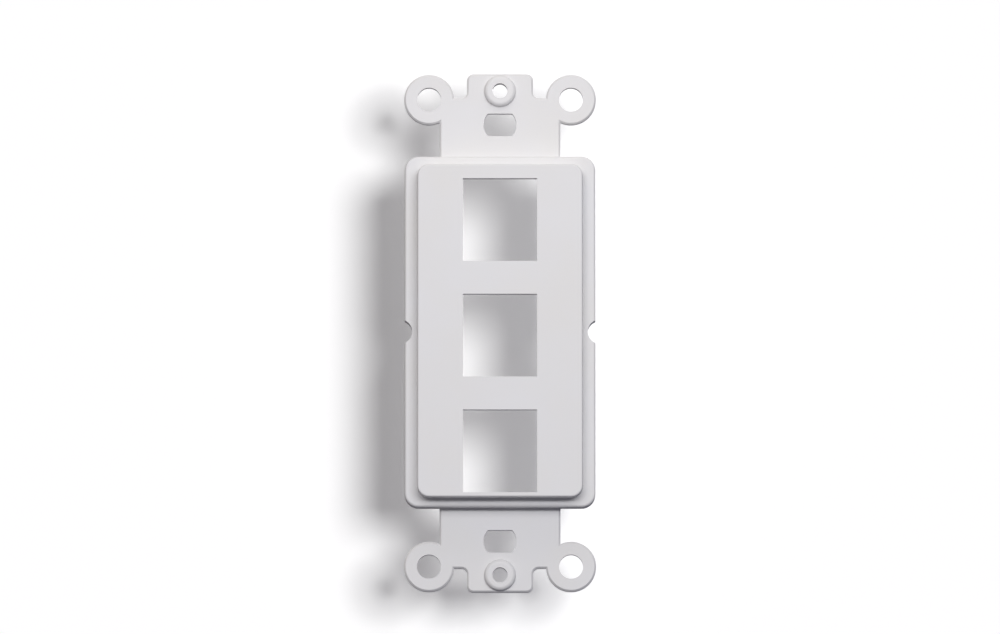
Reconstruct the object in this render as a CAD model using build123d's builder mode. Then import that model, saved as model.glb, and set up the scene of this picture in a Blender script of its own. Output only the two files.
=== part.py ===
from build123d import *
import os

os.makedirs("parts", exist_ok=True)

# Sizes are in millimetres
# The front faces minus Y, the long way runs along Z and X runs across
# Y is zero on the plane where the strap seats on the wall
# A depth that ends in _y is a place along Y, so the front ones are negative

# Screw layout of a single wall box
box_screw_spacing = 83.34
screw_step = 6.75
cover_screw_spacing = box_screw_spacing + 2 * screw_step

# Mounting strap
strap_thick = 2.0
tab_width = 24.1
nose_width = 13.2
nose_past_screw = 3.43
nose_corner = 1.3
strap_edge_break = 0.35
strap_length = cover_screw_spacing + 2 * nose_past_screw

# Plaster ears beside each nose
ear_hole = 4.8
ear_rim = 2.6
ear_past_tab = 2.1
ear_before_screw = 1.7
notch_past_ear = 0.35
notch_nose_round = 1.1
notch_ear_round = 0.4
ear_root_round = 0.3
ear_radius = ear_hole / 2 + ear_rim
ear_spacing_x = tab_width + 2 * ear_past_tab
ear_spacing_z = cover_screw_spacing - 2 * ear_before_screw
tab_length = ear_spacing_z + 2 * notch_past_ear

# Raised bosses for the cover plate screws
cover_screw_hole = 3.0
boss_wall = 1.65
boss_rise = 1.0
boss_rim_round = 0.8
boss_radius = cover_screw_hole / 2 + boss_wall

# Holes with two flats for the box screws
slot_length = 6.6
slot_height = 4.5
slot_corner = 0.35

# Keystone ports
port_count = 3
port_width = 14.74
port_height = 16.5
port_depth = 10.0
latch_room = 2.85
latch_catch = 0.85
lug_groove_depth = 1.5
lug_groove_length = 1.5
catch_thick = 2.0
catch_lead_in = 0.8
port_web = 2.25
cell_wall = 1.6
port_gap = lug_groove_depth + port_web + latch_room
port_pitch = port_height + port_gap
port_reach = port_count * port_height + (port_count - 1) * port_gap

# Raised block that fills the opening of the cover plate
block_width = 33.0
block_above_ports = 2.95
block_below_ports = 0.95
block_rise = 3.4
block_corner = 2.4
block_draft = 1.0
block_edge_round = 0.35
block_wall = 1.8
face_wall = 2.2
block_length = block_above_ports + port_reach + block_below_ports

# Flange behind the cover plate
flange_past_side = 2.5
flange_past_end = 1.75
flange_rise = 2.9
flange_corner = 2.75
flange_edge_round = 0.5
flange_plate = 2.0
skirt_wall = 1.8
flange_width = block_width + 2 * flange_past_side
flange_length = block_length + 2 * flange_past_end

# Round notches in the middle of the long sides
side_notch_radius = 2.45
side_notch_depth = 1.52
side_notch_wall = 1.6
side_notch_x = flange_width / 2 + side_notch_radius - side_notch_depth

# Shell behind the face
rib_thick = 1.2
pocket_corner = 0.4
housing_wall = 2.0

# Places along Y
strap_front_y = -strap_thick
flange_front_y = strap_front_y - flange_rise
flange_back_y = flange_front_y + flange_plate
face_y = flange_front_y - block_rise
face_back_y = face_y + face_wall
housing_back_y = face_y + port_depth
catch_front_y = housing_back_y - catch_thick
groove_front_y = catch_front_y - lug_groove_length

# Places along Z
first_port_z = -block_length / 2 + block_below_ports
port_bottoms = [first_port_z + number * port_pitch for number in range(port_count)]
rib_places = [bottom - port_gap / 2 for bottom in port_bottoms[1:]]
catch_rise = latch_room - latch_catch
housing_bottom_z = first_port_z - housing_wall
housing_top_z = first_port_z + port_reach + catch_rise + housing_wall
cell_side_x = port_width / 2 + cell_wall

# How far a cut runs past a face, how close two places count as one,
# and the largest share of a step that a round on it may take
past = 1.0
touch = 0.01
most_of_a_wall = 0.9


def draw_side_pockets(sketch, outer_width, outer_length):
    # Pockets at both sides of the ports, with the ribs and the notch walls left standing
    pocket_width = outer_width / 2 - cell_side_x
    with Locations((cell_side_x + pocket_width / 2, 0)):
        Rectangle(pocket_width, outer_length)
    with Locations([(outer_width / 2, rib_z) for rib_z in rib_places]):
        Rectangle(2 * pocket_width, rib_thick, mode=Mode.SUBTRACT)
    fillet(sketch.vertices(), pocket_corner)
    with Locations((side_notch_x, 0)):
        Circle(side_notch_radius + side_notch_wall, mode=Mode.SUBTRACT)
    mirror(about=Plane.YZ)


with BuildPart() as insert_body:
    # Flat strap with a nose at each end and an ear at each corner
    with BuildSketch(Plane.XZ) as strap_outline:
        Rectangle(tab_width, tab_length)
        RectangleRounded(nose_width, strap_length, nose_corner)
        with GridLocations(ear_spacing_x, ear_spacing_z, 2, 2):
            Circle(ear_radius)
        notch_floor = strap_outline.vertices().filter_by(
            lambda corner: abs(abs(corner.Y) - tab_length / 2) < touch
        )
        beside_nose = notch_floor.filter_by(
            lambda corner: abs(abs(corner.X) - nose_width / 2) < touch
        )
        ear_roots = strap_outline.vertices().filter_by(
            lambda corner: abs(abs(corner.X) - tab_width / 2) < touch
        )
        fillet(beside_nose, notch_nose_round)
        fillet(notch_floor - beside_nose, notch_ear_round)
        fillet(ear_roots, ear_root_round)
    extrude(amount=strap_thick)
    strap_front = insert_body.faces().sort_by(Axis.Y)[0]
    chamfer(strap_front.edges(), strap_edge_break)

    # Flange with a soft front edge and a notch in the middle of each long side
    with BuildSketch(Plane.XZ):
        RectangleRounded(flange_width, flange_length, flange_corner)
    extrude(amount=-flange_front_y)
    flange_front = insert_body.faces().sort_by(Axis.Y)[0]
    fillet(flange_front.edges(), flange_edge_round)
    with BuildSketch(Plane.XZ):
        with Locations((-side_notch_x, 0), (side_notch_x, 0)):
            Circle(side_notch_radius)
    extrude(amount=-flange_front_y, mode=Mode.SUBTRACT)

    # Raised block with a little draft and a soft front edge
    with BuildSketch(Plane.XZ.offset(-flange_front_y)):
        RectangleRounded(block_width, block_length, block_corner)
    extrude(amount=block_rise, taper=block_draft)
    block_front = insert_body.faces().sort_by(Axis.Y)[0]
    fillet(block_front.edges(), block_edge_round)

    # Bosses that start in the strap and stand a little above it
    with BuildSketch(Plane.XZ):
        with GridLocations(0, cover_screw_spacing, 1, 2):
            Circle(boss_radius)
    extrude(amount=strap_thick + boss_rise)
    boss_rims = insert_body.edges().filter_by(GeomType.CIRCLE).filter_by(
        lambda rim: abs(rim.center().Y - strap_front_y + boss_rise) < touch
        and abs(rim.radius - boss_radius) < touch
    )
    fillet(boss_rims, min(boss_rim_round, most_of_a_wall * boss_rise))

    # Back of the port housing, which reaches into the wall box
    housing_middle_z = (housing_top_z + housing_bottom_z) / 2
    with BuildSketch(Plane.XZ):
        with Locations((0, housing_middle_z)):
            Rectangle(2 * cell_side_x, housing_top_z - housing_bottom_z)
    extrude(amount=-housing_back_y)

    # Pockets that leave a skirt, a flange plate and a block of even wall
    with BuildSketch(Plane.XZ) as flange_pockets:
        draw_side_pockets(flange_pockets, flange_width - 2 * skirt_wall, flange_length - 2 * skirt_wall)
    extrude(amount=-flange_back_y, mode=Mode.SUBTRACT)
    with BuildSketch(Plane.XZ.offset(-flange_back_y)) as block_pockets:
        draw_side_pockets(block_pockets, block_width - 2 * block_wall, block_length - 2 * block_wall)
    extrude(amount=flange_back_y - face_back_y, mode=Mode.SUBTRACT)

    # Holes for the cover plate screws, the plaster ears and the box screws
    with BuildSketch(Plane.XZ):
        with GridLocations(0, cover_screw_spacing, 1, 2):
            Circle(cover_screw_hole / 2)
        with GridLocations(ear_spacing_x, ear_spacing_z, 2, 2):
            Circle(ear_hole / 2)
    extrude(amount=strap_thick + boss_rise, mode=Mode.SUBTRACT)
    for end in (-1, 1):
        with BuildSketch(Plane.XZ) as box_slot:
            with Locations((0, end * box_screw_spacing / 2)):
                Circle(slot_length / 2)
                Rectangle(slot_length, slot_height, mode=Mode.INTERSECT)
            fillet(box_slot.vertices(), slot_corner)
        extrude(amount=strap_thick, mode=Mode.SUBTRACT)

    # Ports, each cut by one section with its lug groove below and its latch room above
    for bottom_z in port_bottoms:
        top_z = bottom_z + port_height
        with BuildSketch(Plane.YZ):
            with BuildLine():
                Polyline(
                    (face_y - past, bottom_z),
                    (groove_front_y, bottom_z),
                    (groove_front_y, bottom_z - lug_groove_depth),
                    (catch_front_y, bottom_z - lug_groove_depth),
                    (catch_front_y, bottom_z),
                    (housing_back_y - catch_lead_in, bottom_z),
                    (housing_back_y + past, bottom_z - catch_lead_in - past),
                    (housing_back_y + past, top_z + catch_rise + catch_lead_in + past),
                    (housing_back_y - catch_lead_in, top_z + catch_rise),
                    (catch_front_y, top_z + catch_rise),
                    (catch_front_y, top_z + latch_room),
                    (groove_front_y, top_z + latch_room),
                    (face_back_y, top_z),
                    (face_y - past, top_z),
                    close=True,
                )
            make_face()
        extrude(amount=port_width / 2, both=True, mode=Mode.SUBTRACT)

insert_body.part.label = "insert_body"
export_step(insert_body.part, "parts/insert_body.step")
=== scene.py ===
import math

import bpy
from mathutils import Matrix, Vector


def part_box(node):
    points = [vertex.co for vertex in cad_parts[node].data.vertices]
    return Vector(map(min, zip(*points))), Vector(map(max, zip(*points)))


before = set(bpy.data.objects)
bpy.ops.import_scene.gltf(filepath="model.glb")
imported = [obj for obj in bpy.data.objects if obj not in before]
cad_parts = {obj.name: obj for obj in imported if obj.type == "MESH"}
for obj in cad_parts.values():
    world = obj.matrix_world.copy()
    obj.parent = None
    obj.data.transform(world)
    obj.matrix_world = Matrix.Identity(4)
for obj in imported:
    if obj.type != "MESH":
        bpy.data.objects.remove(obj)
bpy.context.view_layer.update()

# Sizes are in metres, the front of the insert faces minus Y and its long way runs along Z
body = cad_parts["insert_body"]
low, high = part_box("insert_body")
middle = (low + high) / 2

# Sides of the insert along Y
in_front = -1.0
behind = 1.0

# Moulded plastic, whose tint and gloss drift in wide clouds between two ends
plastic_tint_cool = (0.700, 0.698, 0.712)
plastic_tint_warm = (0.722, 0.712, 0.704)
plastic_roughness = (0.40, 0.52)
plastic_ior = 1.5
plastic_specular = 0.4
cloud_size = 0.016
cloud_detail = 3.0
cloud_range = (0.3, 0.7)

# Slight waviness of the moulded faces, and the fine grain on them
ripple_size = 0.0065
ripple_detail = 1.0
ripple_height = 0.000012
grain_size = 0.00022
grain_detail = 2.0
grain_height = 0.0000035

# Wall behind the insert, with a faint glow that keeps the shadow on it pale
white = (1.0, 1.0, 1.0, 1.0)
wall_gap = 0.015
wall_size = 1.2
wall_glow = 0.100

# Two long keys, one above the other, that light the insert alone
key_size = (1.15, 0.18)
key_distance = 1.10
key_from_right = math.radians(4)
low_key_from_above = math.radians(11.2)
low_key_power = 6.68
high_key_from_above = math.radians(26)
high_key_power = 2.82
key_tint = (0.985, 0.984, 1.0)

# Small softbox close above the insert, which brightens its upper edges
top_size = (0.26, 0.12)
top_distance = 0.26
top_from_right = math.radians(14)
top_from_above = math.radians(65)
top_power = 0.151
top_tint = (1.0, 0.965, 0.93)

# Lamp that lights the back of the insert, through the wall
back_size = (0.50, 0.50)
back_distance = 1.10
back_from_right = math.radians(22)
back_from_above = math.radians(20)
back_power = 8.2
back_tint = (0.985, 0.984, 1.0)

# Sun that lights the wall alone and lays the insert's shadow on it
sun_distance = 1.10
sun_from_right = math.radians(24.7)
sun_from_above = math.radians(9)
sun_blur = math.radians(26)
sun_power = 2.42

# Sky round the insert, warm on the left, cool on the right and dim below
sky_strength = 0.40
sky_left = (0.84, 0.76, 0.66)
sky_middle = (1.0, 0.99, 0.985)
sky_right = (0.52, 0.56, 0.66)
sky_above = (1.0, 0.985, 0.97)
sky_below = (0.22, 0.22, 0.31)

# Camera, a little below the insert as in the photograph, with its sensor in millimetres
camera_distance = 3.0
camera_below = math.radians(5.0)
sensor_width = 36.0
photo_width = 1000
photo_height = 634
photo_screw_spacing = 483.6
photo_origin_y = 333.7
cover_screw_spacing = 0.09684


def link(tree, source, output, target, socket):
    tree.links.new(source.outputs[output], target.inputs[socket])


def noise(tree, coordinates, size, detail):
    # Noise whose clumps are about as large as the given size
    node = tree.nodes.new("ShaderNodeTexNoise")
    node.inputs["Scale"].default_value = 1.0 / size
    node.inputs["Detail"].default_value = detail
    link(tree, coordinates, "Object", node, "Vector")
    return node


def bump(tree, height_source, height, below=None):
    # Relief of a real height, laid over the relief below it
    node = tree.nodes.new("ShaderNodeBump")
    node.inputs["Strength"].default_value = 1.0
    node.inputs["Distance"].default_value = height
    link(tree, height_source, "Fac", node, "Height")
    if below:
        link(tree, below, "Normal", node, "Normal")
    return node


def moulded_plastic():
    material = bpy.data.materials.new("moulded_plastic")
    material.use_nodes = True
    tree = material.node_tree
    shader = tree.nodes["Principled BSDF"]
    coordinates = tree.nodes.new("ShaderNodeTexCoord")

    clouds = noise(tree, coordinates, cloud_size, cloud_detail)
    tint = tree.nodes.new("ShaderNodeValToRGB")
    stops = tint.color_ramp.elements
    stops[0].position, stops[1].position = cloud_range
    stops[0].color = plastic_tint_cool + (1.0,)
    stops[1].color = plastic_tint_warm + (1.0,)
    link(tree, clouds, "Fac", tint, "Fac")
    link(tree, tint, "Color", shader, "Base Color")

    gloss = tree.nodes.new("ShaderNodeMapRange")
    gloss.inputs["From Min"].default_value = cloud_range[0]
    gloss.inputs["From Max"].default_value = cloud_range[1]
    gloss.inputs["To Min"].default_value = plastic_roughness[0]
    gloss.inputs["To Max"].default_value = plastic_roughness[1]
    link(tree, clouds, "Fac", gloss, "Value")
    link(tree, gloss, "Result", shader, "Roughness")

    ripple = bump(tree, noise(tree, coordinates, ripple_size, ripple_detail), ripple_height)
    grain = bump(tree, noise(tree, coordinates, grain_size, grain_detail), grain_height, ripple)
    link(tree, grain, "Normal", shader, "Normal")
    shader.inputs["IOR"].default_value = plastic_ior
    shader.inputs["Specular IOR Level"].default_value = plastic_specular
    return material


def wall_paint():
    # White from the front, and see-through from behind so that the back of the insert shows
    material = bpy.data.materials.new("wall_paint")
    material.use_nodes = True
    tree = material.node_tree
    output = tree.nodes["Material Output"]
    paint = tree.nodes["Principled BSDF"]
    paint.inputs["Base Color"].default_value = white
    paint.inputs["Roughness"].default_value = 1.0
    paint.inputs["Specular IOR Level"].default_value = 0.0
    paint.inputs["Emission Color"].default_value = white
    paint.inputs["Emission Strength"].default_value = wall_glow
    clear = tree.nodes.new("ShaderNodeBsdfTransparent")
    side = tree.nodes.new("ShaderNodeNewGeometry")
    mix = tree.nodes.new("ShaderNodeMixShader")
    link(tree, side, "Backfacing", mix, "Fac")
    tree.links.new(paint.outputs["BSDF"], mix.inputs[1])
    tree.links.new(clear.outputs["BSDF"], mix.inputs[2])
    link(tree, mix, "Shader", output, "Surface")
    return material


def build_wall():
    bpy.ops.mesh.primitive_plane_add(
        size=wall_size,
        location=(middle.x, high.y + wall_gap, middle.z),
        rotation=(math.radians(90), 0, 0),
    )
    wall = bpy.context.object
    wall.name = "backdrop_wall"
    wall.data.materials.append(wall_paint())
    # It throws no light back, so the edges that face away from the lamps stay dark
    wall.visible_diffuse = False
    wall.visible_glossy = False
    return wall


def aim(thing, target):
    thing.rotation_euler = (target - thing.location).to_track_quat("-Z", "Y").to_euler()


def place(distance, from_right, from_above, side=in_front):
    # Place at a distance from the insert, turned to the right and raised by two angles
    outward = Vector((math.tan(from_right), side, math.tan(from_above)))
    return middle + distance * outward.normalized()


def group(name, member):
    collection = bpy.data.collections.new(name)
    collection.objects.link(member)
    return collection


def add_lamp(data, lit, location):
    # The lamp lights one thing alone, and only the insert casts a shadow in its light
    lamp = bpy.data.objects.new(data.name, data)
    lamp.location = location
    aim(lamp, middle)
    bpy.context.collection.objects.link(lamp)
    lamp.light_linking.receiver_collection = group(data.name + "_receivers", lit)
    lamp.light_linking.blocker_collection = group(data.name + "_blockers", body)


def softbox(name, power, size, tint):
    data = bpy.data.lights.new(name, "AREA")
    data.color = tint
    data.shape = "RECTANGLE"
    data.size, data.size_y = size
    data.energy = power
    return data


def sunlight(name, power, blur):
    data = bpy.data.lights.new(name, "SUN")
    data.energy = power
    data.angle = blur
    return data


def sky_ramp(tree, direction, axis, colours):
    # Colour that runs evenly from one end of an axis to the other
    spread = tree.nodes.new("ShaderNodeMapRange")
    spread.inputs["From Min"].default_value = -1.0
    spread.inputs["From Max"].default_value = 1.0
    link(tree, direction, axis, spread, "Value")
    ramp = tree.nodes.new("ShaderNodeValToRGB")
    stops = ramp.color_ramp.elements
    stops[0].color = colours[0] + (1.0,)
    stops[1].color = colours[-1] + (1.0,)
    for number, colour in enumerate(colours[1:-1], start=1):
        stops.new(number / (len(colours) - 1)).color = colour + (1.0,)
    link(tree, spread, "Result", ramp, "Fac")
    return ramp


def build_sky():
    # Soft light from all round for the insert, and plain white for the camera
    world = bpy.data.worlds.new("studio")
    bpy.context.scene.world = world
    world.use_nodes = True
    tree = world.node_tree
    tree.nodes.clear()
    output = tree.nodes.new("ShaderNodeOutputWorld")
    coordinates = tree.nodes.new("ShaderNodeTexCoord")
    direction = tree.nodes.new("ShaderNodeSeparateXYZ")
    link(tree, coordinates, "Generated", direction, "Vector")
    across = sky_ramp(tree, direction, "X", (sky_left, sky_middle, sky_right))
    upward = sky_ramp(tree, direction, "Z", (sky_below, sky_above))
    tint = tree.nodes.new("ShaderNodeVectorMath")
    tint.operation = "MULTIPLY"
    tree.links.new(across.outputs["Color"], tint.inputs[0])
    tree.links.new(upward.outputs["Color"], tint.inputs[1])
    soft = tree.nodes.new("ShaderNodeBackground")
    soft.inputs["Strength"].default_value = sky_strength
    link(tree, tint, "Vector", soft, "Color")
    plain = tree.nodes.new("ShaderNodeBackground")
    plain.inputs["Color"].default_value = white
    plain.inputs["Strength"].default_value = 1.0
    seen = tree.nodes.new("ShaderNodeLightPath")
    mix = tree.nodes.new("ShaderNodeMixShader")
    link(tree, seen, "Is Camera Ray", mix, "Fac")
    tree.links.new(soft.outputs["Background"], mix.inputs[1])
    tree.links.new(plain.outputs["Background"], mix.inputs[2])
    link(tree, mix, "Shader", output, "Surface")


def build_camera():
    # The lens is set so that the cover screw holes lie as far apart as in the photograph
    data = bpy.data.cameras.new("camera")
    camera = bpy.data.objects.new("camera", data)
    bpy.context.collection.objects.link(camera)
    camera.location = (
        0.0,
        -camera_distance * math.cos(camera_below),
        -camera_distance * math.sin(camera_below),
    )
    aim(camera, Vector((0.0, 0.0, 0.0)))
    seen_spacing = cover_screw_spacing * math.cos(camera_below)
    view_width = seen_spacing * photo_width / photo_screw_spacing
    data.sensor_width = sensor_width
    data.lens = sensor_width * camera_distance / view_width
    data.shift_y = (photo_origin_y - photo_height / 2) / photo_width
    bpy.context.scene.camera = camera


body.data.materials.clear()
body.data.materials.append(moulded_plastic())
wall = build_wall()
low_key = softbox("low_key", low_key_power, key_size, key_tint)
high_key = softbox("high_key", high_key_power, key_size, key_tint)
top = softbox("top", top_power, top_size, top_tint)
back = softbox("back", back_power, back_size, back_tint)
sun = sunlight("sun", sun_power, sun_blur)
add_lamp(low_key, body, place(key_distance, key_from_right, low_key_from_above))
add_lamp(high_key, body, place(key_distance, key_from_right, high_key_from_above))
add_lamp(top, body, place(top_distance, top_from_right, top_from_above))
add_lamp(back, body, place(back_distance, back_from_right, back_from_above, behind))
add_lamp(sun, wall, place(sun_distance, sun_from_right, sun_from_above))
build_sky()
build_camera()
bpy.context.scene.view_settings.view_transform = "Standard"
